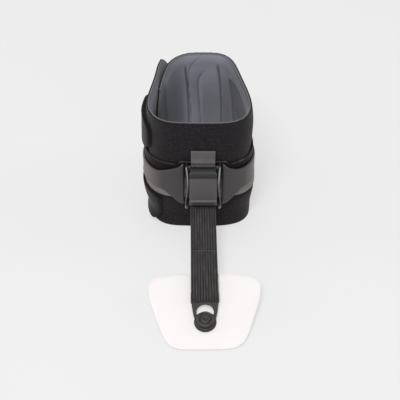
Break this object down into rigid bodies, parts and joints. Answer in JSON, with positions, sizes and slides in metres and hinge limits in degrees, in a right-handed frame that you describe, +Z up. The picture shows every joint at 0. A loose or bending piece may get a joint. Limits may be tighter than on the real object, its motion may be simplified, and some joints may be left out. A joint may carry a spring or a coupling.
{
  "type": "ankle foot orthosis",
  "caption": "Drop-foot support: a wrapped ankle cuff with a cam-lever buckle, an elastic strap and a keyhole tab hooked on a shoe inlay's button.",
  "frame": {"origin": "centre of the ankle opening at the height of the cuff's bottom rim, which stands on the table", "axes": "+Z up along the leg, -Y forward towards the toes, +X to the right in front view; the wrap's overlap is on the -X side"},
  "size_m": [0.0982, 0.2442, 0.1128],
  "materials": {
    "lining": "moulded knit",
    "backing": "smooth knit",
    "cover": "brushed loop pile",
    "tab_fabric": "brushed loop pile",
    "hook": "matte",
    "band_plastic": "satin",
    "buckle_plastic": "satin",
    "steel": "brushed",
    "webbing": "ribbed weave",
    "label": "plain weave",
    "thread": "matte",
    "tab_plastic": "satin",
    "inlay_plastic": "translucent satin"
  },
  "bodies": {
    "cuff": {"lining_pad": "lining", "backing_layer": "backing", "loop_cover": "cover", "upper_tab_root": "tab_fabric", "lower_tab_root": "tab_fabric", "band_hook_strip": "hook", "under_band": "band_plastic", "left_wing": "band_plastic", "right_wing": "band_plastic", "buckle_frame": "buckle_plastic", "lever_pin": "steel", "inner_strap": "webbing"},
    "lever": {"lever": "buckle_plastic"},
    "pull_end": {"pull_tab": "label", "pull_tab_seam": "thread"},
    "upper_tab": {"upper_closure_tab": "tab_fabric", "upper_hook_patch": "hook"},
    "lower_tab": {"lower_closure_tab": "tab_fabric", "lower_hook_patch": "hook"},
    "strap_root": {"elastic_strap": "webbing"},
    "strap_middle": {"doubler_seam": "thread", "strap_loop": "webbing", "strap_doubler": "webbing"},
    "strap_tip": {"end_seam": "thread", "eyelet_tab": "tab_plastic"},
    "button": {"button_cap": "tab_plastic", "button_base": "tab_plastic", "button_washer": "tab_plastic"},
    "shoe_inlay": {"inlay": "inlay_plastic"}
  },
  "joints": [
    {"name": "lever_open", "type": "hinge", "parent": "cuff", "child": "lever", "pos_m": [0, -0.06125, 0.0685], "axis": [-1, 0, 0], "range_deg": [0, 120]},
    {"name": "strap_pull", "type": "slide", "parent": "cuff", "child": "pull_end", "axis": [0, 0, 1], "range_m": [0, 0.03], "deforming": ["inner_strap"]},
    {"name": "upper_tab_peel", "type": "hinge", "parent": "cuff", "child": "upper_tab", "pos_m": [-0.01447, 0.0538, 0.08325], "axis": [0, 0, -1], "range_deg": [0, 110], "stiffness_Nm_per_rad": 0.002},
    {"name": "lower_tab_peel", "type": "hinge", "parent": "cuff", "child": "lower_tab", "pos_m": [-0.01447, 0.0538, 0.018], "axis": [0, 0, -1], "range_deg": [0, 110], "stiffness_Nm_per_rad": 0.002},
    {"name": "strap_swing", "type": "hinge", "parent": "cuff", "child": "strap_root", "pos_m": [0, -0.0581, 0.03232], "axis": [1, 0, 0], "range_deg": [-42, 75]},
    {"name": "strap_draw", "type": "slide", "parent": "strap_root", "child": "strap_middle", "axis": [-0.0137, 0.9822, 0.1874], "range_m": [0, 0.03], "deforming": ["elastic_strap"]},
    {"name": "strap_stretch", "type": "slide", "parent": "strap_middle", "child": "strap_tip", "axis": [0.0137, -0.9822, -0.1874], "range_m": [0, 0.012], "stiffness_N_per_m": 300, "deforming": ["strap_loop", "strap_doubler"]},
    {"name": "button_in_keyhole", "type": "slide", "parent": "strap_tip", "child": "button", "axis": [-0.0137, 0.9822, 0.1874], "range_m": [0, 0.008]},
    {"name": "inlay_turn", "type": "hinge", "parent": "button", "child": "shoe_inlay", "pos_m": [0.00148, -0.16633, 0.00795], "axis": [0.0026, -0.1874, 0.9823], "continuous": true}
  ],
  "couplings": [
    {"joint": "strap_draw", "follows": "strap_pull", "ratio": 1}
  ]
}
